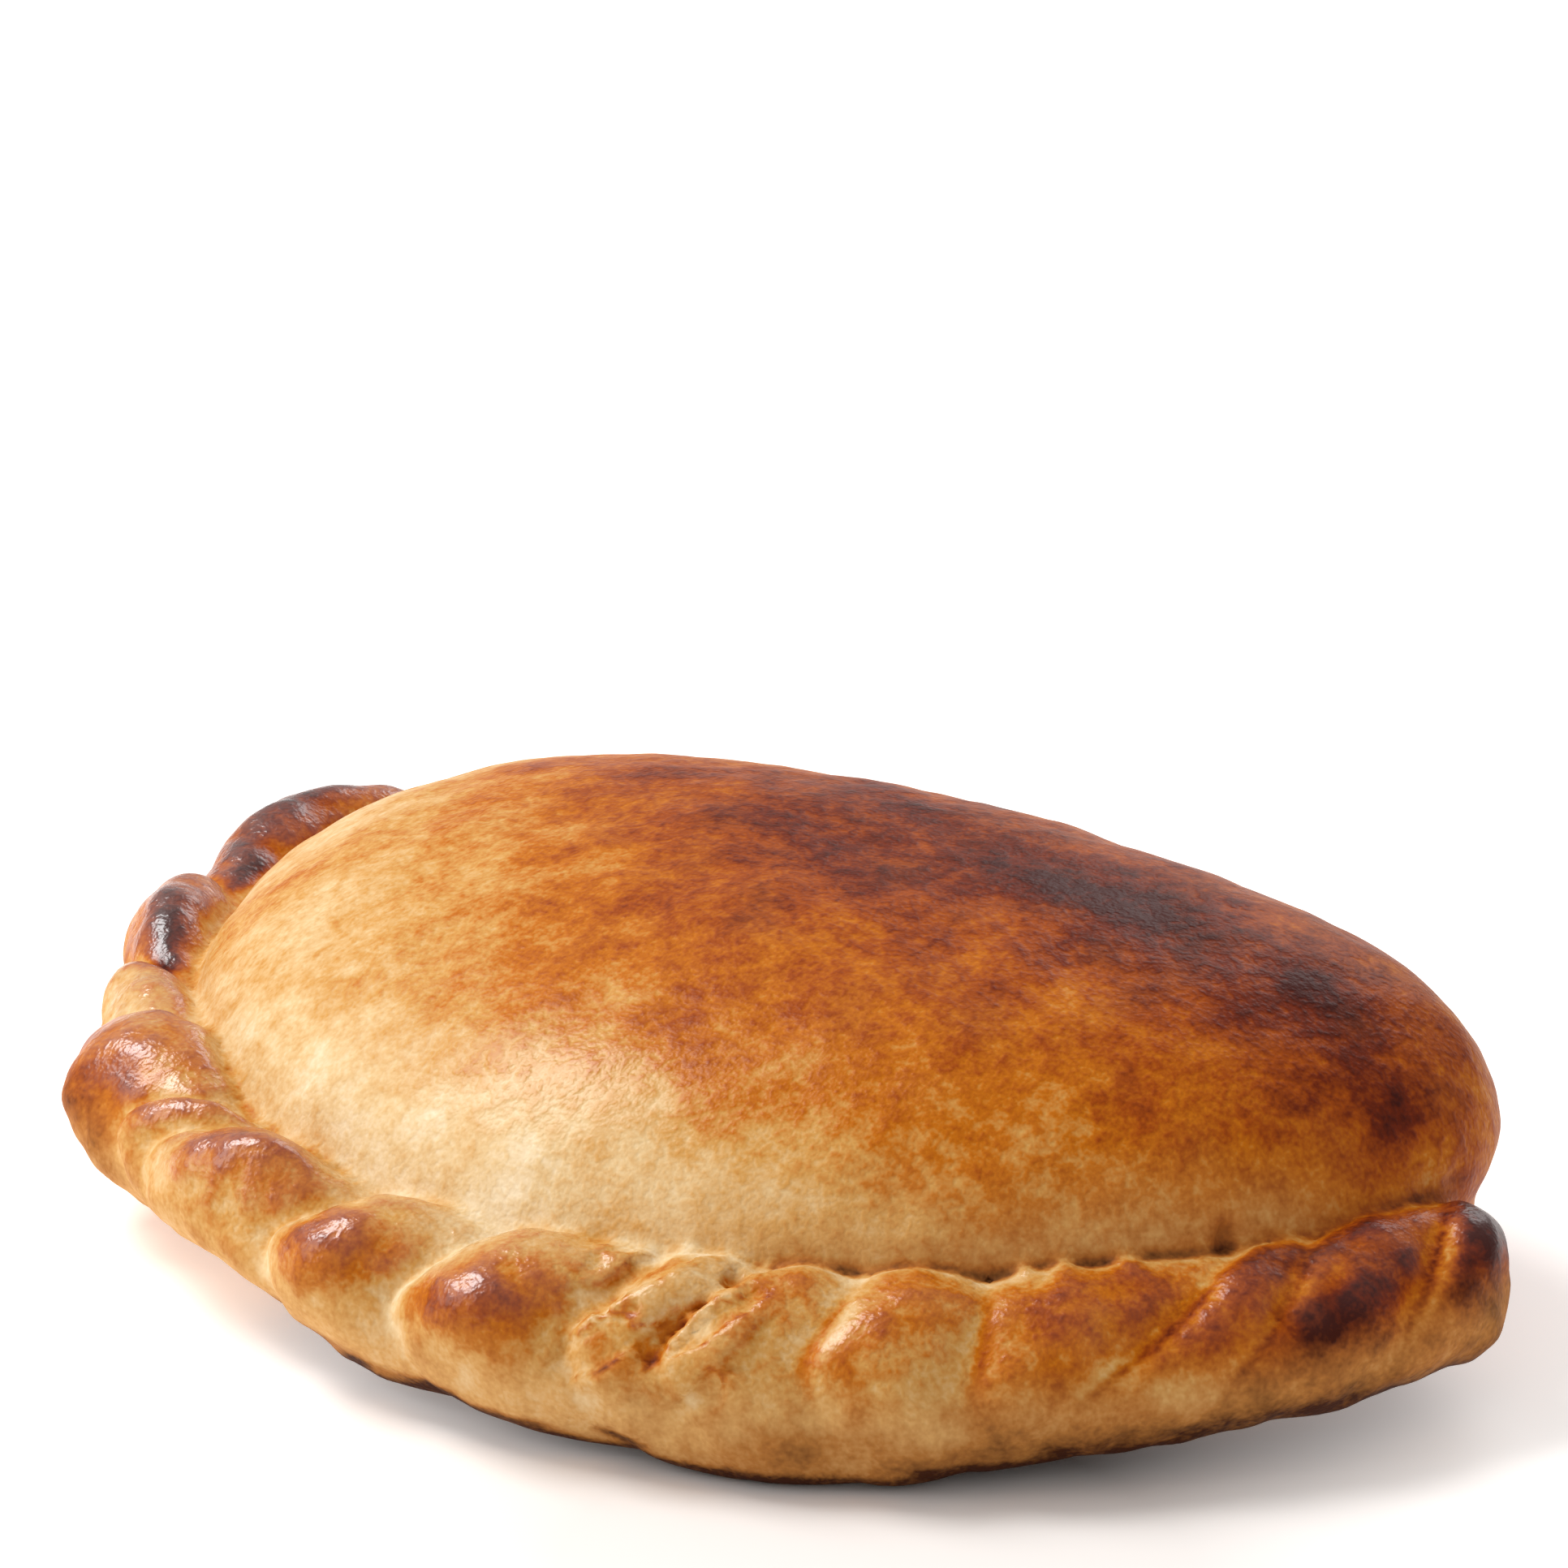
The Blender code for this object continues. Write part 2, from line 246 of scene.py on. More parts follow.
# %% Body
BODY_FRONT_R = 60.0  # front edge, about the same centre as the rim
BODY_BACK_Y = 11.2  # how far back the fold reaches at mid length
BODY_BACK_BOW = 0.0014  # how fast the fold line bows forwards towards the corners, 1/mm
BODY_MID_Y = -24.0  # middle of the plan
BODY_H = 30.2  # height of the top
BODY_TOP_X = 8.5  # the top leans towards the right
BODY_TOP_Y = 10.9  # and back towards the fold
CORNER_RIGHT = 5.0  # squareness of the corners between the front and the fold
CORNER_WAIST = 3.9  # the right corner is rounder where it meets the end of the rope
WAIST_RISE = 0.3  # share of the height at which it is as square as above
CORNER_LEFT = 16.0
CORNER_RISE = 0.55  # share of the height at which the left corner is as soft as the right
DOME_POWER = 2.72  # fullness of the dome above its widest line, at the front
FOLD_POWER = 2.3  # and over the fold
FOLD_TURN = -0.3  # the fold's fullness begins at directions in plan with this sine
FOLD_SOFT = 0.9  # and is reached this much further up it
FOLD_LIFT = 2.0  # the fold is widest a little higher than the rim
FOLD_FROM = 90.0  # angle round from the front at which the widest line starts to level
FOLD_SPAN = 60.0
BASE_INSET = 11.0  # the flat underside stops this far inside the widest line
BODY_BALL = (200, 100)  # segments and rings of the ball that it is pressed from
SOUTH_POLE = 0.9999  # past this depth a point of the ball is its lower pole


def waist_height(angle):
    """Height of the body's widest line: the rim's at the front, level across the fold."""
    fold = SEAM_Z + 0.5 * (LIFT_LEFT + LIFT_RIGHT) + FOLD_LIFT
    return blend(seam_height(angle), fold, ease((np.abs(angle) - FOLD_FROM) / FOLD_SPAN))


def body_radius(turn, rise):
    """Plan radius of the body about its middle; the left corner is only sharp low down."""
    dx = np.cos(turn)
    dy = np.sin(turn)
    reach = BODY_MID_Y * dy
    front = -reach + np.sqrt(reach ** 2 + BODY_FRONT_R ** 2 - BODY_MID_Y ** 2)
    gap = BODY_BACK_Y - BODY_MID_Y
    root = np.sqrt(dy ** 2 + 4.0 * BODY_BACK_BOW * dx ** 2 * gap)
    back = 2.0 * gap / np.maximum(dy + root, 0.001)
    right = blend(CORNER_WAIST, CORNER_RIGHT, ease(rise / WAIST_RISE))
    left_share = ease(0.5 - dx) * ease(1.0 - rise / CORNER_RISE)
    square = blend(right, CORNER_LEFT, left_share)
    return (front ** -square + back ** -square) ** (-1.0 / square)


def narrowing(turn, rise):
    """Share of the body's plan radius that is left at a rise."""
    power = blend(DOME_POWER, FOLD_POWER, ease((np.sin(turn) - FOLD_TURN) / FOLD_SOFT))
    return (1.0 - rise ** power) ** (1.0 / power)


def body_rule(x, y, z):
    """The upper half of the ball becomes the dome, the lower half the dish under it."""
    turn = np.arctan2(y, x)
    rise = z.clip(0.0, 1.0)
    drop = (-z).clip(0.0, 1.0)
    edge = body_radius(turn, rise)
    radius = edge * narrowing(turn, rise) - BASE_INSET * (1.0 - np.sqrt(1.0 - drop ** 2))
    radius = np.where(drop > SOUTH_POLE, 0.0, radius)
    place = np.degrees(np.arctan2(edge * np.cos(turn), -BODY_MID_Y - edge * np.sin(turn)))
    waist = waist_height(place)
    return np.stack([
        radius * np.cos(turn) + BODY_TOP_X * rise ** 2,
        BODY_MID_Y + radius * np.sin(turn) + BODY_TOP_Y * rise ** 2,
        waist * (1.0 - drop) + (BODY_H - waist) * rise], axis=-1)


body = press(ball("body", *BODY_BALL), body_rule)
print("body in mm:", size_of(body))

# %% [markdown]
# ## The pleats
#
# The two edges of the disc are rolled up to a rope, and each pleat of it is a fold of dough
# pushed over the one before with a fingertip. Between two slanting creases the dough swells,
# steeply at the leading edge and slowly behind it, and a fingertip leaves a knob on top. Low down
# the pleats run together in a skirt. No two are alike, because a hand varies each one, so each
# row of the table below is one pleat.

# %% Pleats
# (leading edge, slant, depth of the creases, share of it left in the skirt, knob, its place,
#  how far the pleat stands out, how far the dough draws in below it)
# Angles along the rim and round the rope are in degrees, slant in mm per degree round the rope.
PLEATS = (
    (-98, 0.06, 2.4, 0.6, 0.8, 80, -0.7, 1),
    (-71.5, 0.07, 2.6, 0.5, 1.2, 75, -1.6, 1.5),
    (-55, 0.07, 1.6, 0.4, 0.2, 90, -2.2, 1.5),
    (-43.5, 0.06, 2.2, 0.3, 1.2, 12, 0.4, -0.6),
    (-28.5, 0.09, 1.3, 0, 0.1, 60, -0.3, 1.2),
    (-24.5, 0.08, 2.6, 0.3, 2.1, 74, -0.6, 3.2),
    (-9.6, 0.07, 2.6, 0.35, 2.3, 46, -0.4, 2),
    (1.9, 0.07, 2.4, 0.3, 2.2, 42, -0.3, 1.7),
    (15, 0.07, 1.5, 0.2, 0.2, 80, 0, 1.4),
    (21, 0.085, 1.2, 0.2, 0.1, 80, 0, 0.3),
    (29.8, 0.05, 1.3, 0.35, 0.3, 50, 0, 0.8),
    (40.1, 0.02, 0.8, 0.35, 0.3, 60, 0, 2.6),
    (51.9, 0.14, 0.9, 0.3, 0.1, 60, 0, 2.7),
    (59.6, 0.10, 0.8, 0.3, 0.3, 45, 0, 1.1),
    (71.5, 0.10, 1, 0.5, 0.9, 55, 0, -0.2),
)
PLEATS_END = 82.0
EDGE_AT = 60.0  # angle round the rope at which a leading edge is where the table says
PLEAT_BEND = (35.0, -20.0)  # angle round the rope at which a crease is furthest left,
BEND_LOWER = (32.0, 40.0)  # which is lower for the pleats right of these angles
BEND_SOFT = 15.0  # how gently a crease turns there
PLEAT_CREST = 0.7  # below 1 a pleat is highest nearer its leading edge
PLEAT_FULL = 0.7  # below 1 a pleat is fuller across than a plain wave, its creases sharper
PLEAT_SKIRT = (-25.0, 50.0)  # angles round the rope between which the creases deepen
PLEAT_TOP = (100.0, 155.0)  # and fade again on the side of the filling
KNOB_CENTRE = 0.55  # share of the pleat's width at which the knob sits
KNOB_WIDE = 0.28  # share of it that the knob takes up
KNOB_LONG = 32.0  # degrees round the rope
CENTRE = 0.5  # share of a crease's depth that lies below the plain rope
HEM = (10.0, -50.0)  # angles round the rope between which its lower side draws in
HEM_END = (-95.0, -140.0)  # and between which it fills out again, against the body


def pleat_at(angle, around):
    """Which pleat a place belongs to, and the angles of that pleat's two creases there."""
    table = np.array(PLEATS + ((PLEATS_END,) + PLEATS[-1][1:],))
    bend = blend(*PLEAT_BEND, between(table[:, 0], *BEND_LOWER))
    lean = np.hypot(around[..., None] - bend, BEND_SOFT) - np.hypot(EDGE_AT - bend, BEND_SOFT)
    edges = table[:, 0] + np.degrees(table[:, 1] * lean / SEAM_R)
    number = ((angle[..., None] >= edges).sum(axis=-1) - 1).clip(0, len(PLEATS) - 1)
    start = np.take_along_axis(edges, number[..., None], axis=-1)[..., 0]
    end = np.take_along_axis(edges, number[..., None] + 1, axis=-1)[..., 0]
    return number, start, end


def pleat_pattern(angle, around):
    """How far the pleated rope stands out from the plain one."""
    number, start, end = pleat_at(angle, around)
    share = ((angle - start) / (end - start)).clip(0.0, 1.0)
    depth, skirt, knob, knob_at = np.moveaxis(np.array(PLEATS)[number, 2:6], -1, 0)
    swell = np.sin(math.pi * share ** PLEAT_CREST).clip(0.0, 1.0) ** PLEAT_FULL
    depth = depth * blend(skirt, 1.0, between(around, *PLEAT_SKIRT))
    depth = depth * between(around, *PLEAT_TOP[::-1])
    reach = ((share - KNOB_CENTRE) / KNOB_WIDE) ** 2 + ((around - knob_at) / KNOB_LONG) ** 2
    return depth * (swell - CENTRE) + knob * np.exp(-reach)


def pleat_size(angle, around):
    """How far the row of pleats stands out as a whole, and draws in at its lower side."""
    table = np.array(PLEATS)
    middles = 0.5 * (table[:, 0] + np.append(table[1:, 0], PLEATS_END))
    stand = np.interp(angle, middles, table[:, 6])
    hem = np.interp(angle, middles, table[:, 7])
    hem = hem * between(around, *HEM)
    return stand - hem * between(around, *HEM_END[::-1])


def rope_radius(angle, around):
    """Radius of the pleated rope, with a thin lip beside the filling on the right."""
    lip = ease((angle - LIP_FROM) / LIP_FADE) * ease((LIP_TO - angle) / LIP_FADE)
    lip = LIP_HEIGHT * lip * np.exp(-((around - LIP_AT) / LIP_SPAN) ** 2)
    pleated = pleat_pattern(angle, around) + pleat_size(angle, around)
    return rope_section(angle, around) + pleated + lip


print(len(PLEATS), "pleats, with creases up to", max(row[2] for row in PLEATS), "mm deep")

# %% [markdown]
# ## The crimped rope
#
# The ball is drawn out along the rim, so that its poles become the two rounded ends of the rope.
# Its section is round on the left and a leaning ellipse on the right, and the pleats stand on it.

# %% Crimped rope
ROPE_BALL = (96, 470)  # segments and rings of the ball that it is drawn out from


def rope_rule(x, y, z):
    """Draw the ball out along the rim and round off its ends."""
    angle = blend(ARC_LEFT, ARC_RIGHT, 0.5 + np.arcsin(z) / math.pi)
    around = np.degrees(np.arctan2(y, x))
    gap = np.minimum(angle - ARC_LEFT, ARC_RIGHT - angle)
    gap = np.radians(gap) * SEAM_R / ROPE_ROUND
    close = np.sqrt((1.0 - (1.0 - gap).clip(0.0, 1.0) ** 2).clip(0.0, 1.0))
    return rope_point(angle, around, close * rope_radius(angle, around))


rope = press(ball("rope", *ROPE_BALL), rope_rule)
print("rope in mm:", size_of(rope))

# %% [markdown]
# ## Strands of dough
#
# Where the rope pulled away from the dome in the oven, a few thin strands of dough still span the
# crease. Each is a small ball drawn out between the two, thicker at the rope that it came from.

# %% Strands
# (angle along the rim, lean towards the dome end in degrees, thickness in mm)
THREADS = ((43.6, -0.8, 0.5), (46.2, 0.5, 0.38), (50.6, -0.4, 0.42))
THREAD_FROM = 108.0  # angles round the rope between which a thread spans the crease
THREAD_TO = 138.0
THREAD_PROUD = 0.2  # how far its middle starts outside the rope's skin, mm
THREAD_CLIMB = 1.2  # and how much further out it ends, mm
THREAD_ROOT = 1.4  # thickness at the rope, as a share of the table's
THREAD_TIP = 0.9  # and at the dome


def thread_rule(x, y, z, angle, lean, thick):
    """Draw the ball out to a thin strand of dough from the rope's edge to the dome."""
    share = 0.5 + 0.5 * z
    around = blend(THREAD_FROM, THREAD_TO, share)
    radius = rope_radius(np.full(len(z), angle), around) + THREAD_PROUD + THREAD_CLIMB * share
    middle = rope_point(angle + lean * share, around, radius)
    half = thick * blend(THREAD_ROOT, THREAD_TIP, share)
    return middle + np.stack([x, y, 0.0 * z], axis=-1) * half[:, None]


threads = [press(ball("thread", 12, 12), thread_rule, *thread) for thread in THREADS]
print(len(threads), "strands, the first in mm:", size_of(threads[0]))

# %% [markdown]
# ## Pushed together
#
# Wet dough joins wherever it touches. The lumps are joined to one object, a voxel Remesh grows
# them into a single skin, and a few passes of Smooth round the folds. A Boolean union would leave
# knife-sharp seams. Then the underside is cut flat, as a baking tray leaves it, and the piece is
# set into the frame.

# %% One skin
VOXEL = 0.5
SOFTEN = 3
SOLE = 0.35  # slice taken off the underside
CIRCLE = np.array([1.87, 29.32, -SOLE])  # where the middle of the rim's circle lies in the frame


def finish_modifier(item, kind, **settings):
    """Add a modifier with its settings and apply it."""
    only(item)
    bpy.ops.object.modifier_add(type=kind)
    modifier = item.modifiers[-1]
    for key, value in settings.items():
        setattr(modifier, key, value)
    bpy.ops.object.modifier_apply(modifier=modifier.name)


def cut_underside(piece):
    """Slice the underside flat and close it."""
    only(piece)
    bpy.ops.object.mode_set(mode="EDIT")
    bpy.ops.mesh.select_all(action="SELECT")
    bpy.ops.mesh.bisect(
        plane_co=(0.0, 0.0, SOLE * MM), plane_no=(0.0, 0.0, 1.0), use_fill=True, clear_inner=True)
    bpy.ops.object.mode_set(mode="OBJECT")


only(body)
for lump in [rope] + threads:
    lump.select_set(True)
bpy.ops.object.join()
empanada = bpy.context.object
empanada.name = empanada.data.name = "crimped_empanada"
finish_modifier(empanada, "REMESH", mode="VOXEL", voxel_size=VOXEL * MM)
finish_modifier(empanada, "SMOOTH", factor=0.5, iterations=SOFTEN)
cut_underside(empanada)
move_points(empanada, points_of(empanada) + CIRCLE)
print("skin has", len(empanada.data.polygons), "faces")

# %% [markdown]
# ## Where each point lies
#
# The look of a crust depends on the place: pleats brown before the hollows between them. So each
# point of the skin is asked where it is, in the rim's two angles, and how far it is from the rope
# and from the dome. A helper that smooths points is made here too.

# %% Places on the skin
NEAR_TOP = 0.999  # share of its height up to which the dome's radius is asked for


def smoothed(points, ends, passes, weight=1.0):
    """Points after some passes of moving each halfway towards the middle of its neighbours."""
    one, two = ends
    count = np.bincount(np.concatenate(ends), minlength=len(points))
    for _ in range(passes):
        total = [
            np.bincount(one, column[two], len(points)) + np.bincount(two, column[one], len(points))
            for column in points.T]
        middle = np.stack(total, axis=-1) / count[:, None]
        points = points + 0.5 * (middle - points) * np.reshape(weight, (-1, 1))
    return points


def rim_place(points):
    """Angle along the rim, angle round the rope and distance from the rope's middle."""
    x, y, z = (points - CIRCLE).T
    angle = np.degrees(np.arctan2(x, -y))
    out = np.hypot(x, y) - seam_radius(angle)
    up = z - seam_height(angle)
    return angle, np.degrees(np.arctan2(up, out)), np.hypot(out, up)


def gap_to_rope(points):
    """Distance out of the rope's skin; beyond the rope's two ends it grows along the rim."""
    angle, around, distance = rim_place(points)
    over = np.radians(np.maximum(ARC_LEFT - angle, angle - ARC_RIGHT).clip(0.0)) * SEAM_R
    return (distance - rope_radius(angle, around)).clip(0.0) + over


def gap_to_body(points):
    """Distance out of the body's skin, measured level; low down the waist line counts."""
    x, y, z = (points - CIRCLE).T
    angle = np.degrees(np.arctan2(x, -y))
    waist = waist_height(angle)
    rise = ((z - waist) / (BODY_H - waist)).clip(0.0, NEAR_TOP)
    x = x - BODY_TOP_X * rise ** 2
    y = y - BODY_MID_Y - BODY_TOP_Y * rise ** 2
    turn = np.arctan2(y, x)
    return (np.hypot(x, y) - body_radius(turn, rise) * narrowing(turn, rise)).clip(0.0)


ends = rows(empanada.data.edges, "vertices", 2, np.int64).T
places = points_of(empanada)
print("points on the rope:", int((gap_to_rope(places) < VOXEL).sum()), "of", len(places))

# %% [markdown]
# ## Unevenness
#
# Real dough is never as even as a rule makes it. A hand leaves slow waves in it and steam raises
# small blisters. Both are read from Blender's noise at several sizes, because noise is smooth and
# comes out the same each time.
#
# Here are also the soft steps that most of what follows is made of. Their limits are kept as a
# pair, where the step starts or ends and how wide it is, or as three: start, end and fade.

# %% Waves and soft steps
# layers of noise: size in mm, height in mm, and how many cells away each reads the noise
WAVES = ((15.0, 0.20, 7.0), (6.0, 0.12, 7.0), (2.2, 0.05, 7.0))
ROPE_WAVES = ((5.0, 0.25, 23.0), (2.4, 0.12, 23.0))  # these are on the rope alone
NOISE_FULL = 1.6  # brings the noise to between about -1 and 1


def waves(points, layers):
    """Smooth random waves of several layers together."""
    total = 0.0
    for size, high, shift in layers:
        cells = points / size + shift
        total += high * NOISE_FULL * np.array([noise.noise(Vector(cell)) for cell in cells])
    return total


def rising(value, start, span):
    """0 up to a start, 1 from a span further on, and smooth between."""
    return ease((value - start) / span)


def falling(value, end, span):
    """1 until a span before an end, 0 from the end on, and smooth between."""
    return ease((end - value) / span)


def window(value, start, end, fade):
    """1 between two values and 0 outside them; the middles of its soft ends lie at the values."""
    return ease((value - start) / fade + 0.5) * ease((end - value) / fade + 0.5)


def close_to(gap, wide):
    """1 on a skin and 0 from some width away from it."""
    return 1.0 - ease(gap / wide)


sample = waves(places[::200], WAVES)
print("waves from", sample.min().round(2), "to", sample.max().round(2), "mm")

# %% [markdown]
# ## Torn flakes
#
# At one place in front the rope has torn, and slanting flakes of dough stand up from it. They come
# from the same noise, stretched along the flakes and cut off at a level, so that each has a steep
# edge. A finer pattern frays the edges. Flakes cut out one by one would look too neat.

# %% Torn flakes
TEAR_ALONG = (14.0, 26.0, 5.0)  # angles along the rim where the dough is torn
TEAR_AROUND = (0.0, 115.0, 30.0)  # and round the rope
FLAKE_WIDE = 2.6  # mm
FLAKE_LONG = 6.0
FLAKE_SLANT = 0.9  # how fast they lean along the rim on their way up
FLAKE_EDGE = 0.3  # the smaller, the steeper their edges
FLAKES = ((1.0, 1.0, 41.0),)  # layers of noise again, the first in flakes and not in mm
FRAY = ((1.6, 0.45, 51.0),)
ROPE_FADE = 2.0  # mm beside the rope over which its waves and flakes fade out


def flakes(points):
    """How much the dough is torn at the points, and whether a flake lies there, 0 to 1."""
    angle, around, _ = rim_place(points)
    up = np.radians(around) * ROPE_ROUND
    along = np.radians(angle) * SEAM_R - FLAKE_SLANT * up
    flat = np.stack([along / FLAKE_WIDE, up / FLAKE_LONG, 0.0 * up], axis=-1)
    pattern = waves(flat, FLAKES) + waves(points, FRAY)
    torn = window(angle, *TEAR_ALONG) * window(around, *TEAR_AROUND)
    return torn * close_to(gap_to_rope(points), ROPE_FADE), ease(pattern / FLAKE_EDGE + 0.5)


print("torn points:", int((flakes(places)[0] > 0.5).sum()))

# %% [markdown]
# ## Crevice, crease and pits
#
# The narrow crevice between the rope and the dome is smoothed, since the remesh leaves steps there.
# Then every point moves along its normal by the waves and the flakes, a tight crease is pressed in
# behind the rope at the front, and two small pits are burnt in. The flat underside is left out of
# all this, so that the pastry sits firmly.

# %% Uneven skin
CREVICE_WIDE = 1.1  # mm
CREVICE_PASSES = 6
CREVICE_LOW = (1.0, 2.0)  # height from which it is smoothed, mm
FLAKE_THICK = 0.6  # mm
CREASE_DEEP = 0.7  # mm
CREASE_WIDE = 0.7
CREASE_ALONG = (20.0, 62.0, 14.0)  # angles along the rim where it is tight
UNEVEN_LOW = (0.2, 2.5)  # height from which it is uneven, mm
# pits burnt into the crust: place in mm, radius, depth
PITS = ((52, -1.9, 14.9, 0.9, 0.7), (-48.4, -8.4, 14.6, 1.6, 0.7))


def in_crevice(points, wide):
    """1 where the rope's skin meets the dome's, fading over some width."""
    gap = gap_to_rope(points) + gap_to_body(points)
    return np.exp(-(gap / wide) ** 2)


def in_pit(points, x, y, z, radius):
    """1 in the middle of a pit, fading over its radius."""
    return np.exp(-((points - [x, y, z]) ** 2).sum(axis=1) / radius ** 2)


def make_uneven(item):
    """Move the points along their normals by waves, flakes, the crease and the pits."""
    points = points_of(item)
    angle, _, _ = rim_place(points)
    on_rope = close_to(gap_to_rope(points), ROPE_FADE)
    height = waves(points, WAVES) + on_rope * waves(points, ROPE_WAVES)
    torn, flake = flakes(points)
    height += FLAKE_THICK * torn * (flake - 0.5)
    height -= CREASE_DEEP * in_crevice(points, CREASE_WIDE) * window(angle, *CREASE_ALONG)
    for *pit, deep in PITS:
        height -= deep * in_pit(points, *pit)
    height *= rising(points[:, 2], *UNEVEN_LOW)
    move_points(item, points + rows(item.data.vertices, "normal", 3) * height[:, None])


weight = in_crevice(places, CREVICE_WIDE) * rising(places[:, 2], *CREVICE_LOW)
move_points(empanada, smoothed(places, ends, CREVICE_PASSES, weight))
make_uneven(empanada)
print("size now in mm:", size_of(empanada))

# %% [markdown]
# ## How far the dome has browned
#
# Browning runs from 0, pale dough, to 1, nearly burnt. The oven's heat came from the back right,
# so on the dome it is a slope from the front foot to the fold, times a share from left to right.
# Soft spots are added where a blister caught more heat, or where wet dough caught less; one on the
# dome's left edge is painted shade.

# %% Browning of the dome
# browning up the slope of the dome, from its front foot over the top and down to the fold
SLOPE_Y = (-31, -26, -22, -16, -4, 4, 11, 20, 30, 42)
SLOPE_BROWN = (0.18, 0.20, 0.34, 0.54, 0.64, 0.72, 0.82, 0.85, 0.74, 0.55)
# share of it that is reached from left to right
SIDE_X = (-60, -45, -30, -16, -2, 8, 42, 60)
SIDE_SHARE = (0.45, 0.38, 0.54, 0.76, 0.95, 1.0, 0.98, 0.76)
# spots and bands: x, y, half width, half depth in mm, turn in degrees, browning; one is painted shade
DOME_SPOTS = (
    (25, 17.5, 7, 3.5, 10, 0.14),
    (36, 17, 16, 4, 0, 0.08),
    (6, 10, 12, 3, 10, 0.07),
    (-20, 21, 5, 3, 30, 0.12),
    (56.5, 14.5, 1.7, 3.2, 0, 0.24),
    (2, -4, 9, 5, 30, 0.04),
    (39, -6, 10, 6, 40, -0.11),
    (-33, 21, 12, 8, 25, 0.15),
    (-10, 28, 22, 6, 0, 0.12),
    (12, -24, 12, 3.5, 8, -0.08),
    (-40, 6, 5, 14, 25, -0.06),
    (50.5, 16.5, 5, 6, 20, 0.18),
    # painted shade on the dome's left edge
    (-41, -5, 8, 5, 45, 0.19),
    (-35, 4, 9, 5, 20, 0.12),
    (33.2, -7, 3.4, 3.2, 30, 0.13),
    (18, -24.5, 7, 3, 8, 0.07),
    (50, -3, 9, 5, 45, 0.08),
    (7, -20, 8, 3.5, 15, 0.09),
)


def plan_spot(points, spot_x, spot_y, wide, deep, turn, amount):
    """An amount that is full at one place in plan and fades over an ellipse round it."""
    x, y, _ = points.T
    cos = math.cos(math.radians(turn))
    sin = math.sin(math.radians(turn))
    along = (x - spot_x) * cos + (y - spot_y) * sin
    across = (y - spot_y) * cos - (x - spot_x) * sin
    return amount * np.exp(-(along / wide) ** 2 - (across / deep) ** 2)


def dome_browning(points):
    """Browning of the dome: the slope, less on the left, then the spots."""
    x, y, _ = points.T
    brown = np.interp(y, SLOPE_Y, SLOPE_BROWN) * np.interp(x, SIDE_X, SIDE_SHARE)
    for spot in DOME_SPOTS:
        brown += plan_spot(points, *spot)
    return brown


skin = points_of(empanada)
print("middle of the dome has browned to", dome_browning(np.array([[0.0, 0.0, BODY_H]])).round(2))

# %% [markdown]
# ## How far the rope has browned
# On the rope each pleat has an amount of its own on its crest and another in its skirt, since each
# stands out differently; the skirts of the last pleats on the right are darker partly as painted shade.
# In front, a thin reddish line runs in each crease, where sugar and egg gathered. Just behind the
# leading edge of a plump pleat the dough was drawn tight, and stays pale. One spot is painted shade in
# the crevice beside the first pleat.

# %% Browning of the rope
# heat on top of each pleat, where round the rope it is centred, and heat in its skirt, which on the last
# three also holds painted shade
PLEAT_HEAT = (
    (0.82, 80, 0.50), (0.70, 85, 0.42), (0.30, 60, 0.26), (0.64, 34, 0.38),
    (0.42, 70, 0.34), (0.56, 80, 0.30), (0.56, 54, 0.27), (0.54, 50, 0.28),
    (0.42, 60, 0.38), (0.42, 80, 0.38), (0.50, 90, 0.40), (0.60, 90, 0.42),
    # the skirts of these last three, on the right, are darker partly as painted shade
    (0.66, 84, 0.48), (0.88, 50, 0.54), (0.94, 62, 0.62),
)
HEAT_LONG = 34.0  # how far the heat reaches round the rope, degrees
HEAT_CENTRE = 0.56  # share of the pleat's width at which it is centred
HEAT_WIDE = 0.42  # and that it takes up
HEAT_EDGE = 4  # above 2, it is more even within and ends more sharply than a spot
LINE_BROWN = 0.26  # the line in a crease
LINE_WIDE = 0.6  # mm
LINE_ALONG = (19.0, 80.0, 6.0)  # angles along the rim
LINE_AROUND = (10.0, 100.0, 40.0)  # angles round the rope
TIGHT_PALE = 0.16  # how much paler the tight dough is
TIGHT_AT = 1.0  # mm behind the leading edge
TIGHT_WIDE = 0.8
TIGHT_ALONG = ((-14.0, 36.0, 6.0), (64.0, 74.0, 4.0))
TIGHT_AROUND = (0.0, 85.0, 30.0)
# spots on the rope: angle, angle round it, half width and half length in degrees, browning; one is
# painted shade
ROPE_SPOTS = (
    (50.5, 60, 2.2, 22, 0.20),
    (61.5, 42, 2.6, 22, 0.22),
    (29, -22, 3, 16, 0.24),
    (17.5, 20, 3, 18, 0.18),
    (-29, 52, 4, 8, 0.20),
    (-53.2, 99, 3, 14, 0.25),
    (-45, 118, 6, 12, 0.20),
    (68, 102, 4, 14, 0.24),
    # painted shade in the crevice between the first pleat and the dome
    (-72.5, 112, 4, 14, 0.34),
    (-58.5, 87, 3, 12, 0.22),
    (-36, 96, 4, 16, 0.14),
    (62, 93, 3.4, 15, 0.26),
    (17.5, 106, 3, 12, 0.24),
    (-25.5, 80, 3, 18, 0.10),
)


def crest_browning(angle, around):
    """Browning of each pleat, from its skirt to its crest."""
    number, start, end = pleat_at(angle, around)
    share = (angle - start) / (end - start)
    top, at, skirt = np.array(PLEAT_HEAT)[number].T
    reach = ((share - HEAT_CENTRE) / HEAT_WIDE) ** HEAT_EDGE + ((around - at) / HEAT_LONG) ** 2
    return skirt + (top - skirt) * np.exp(-reach)


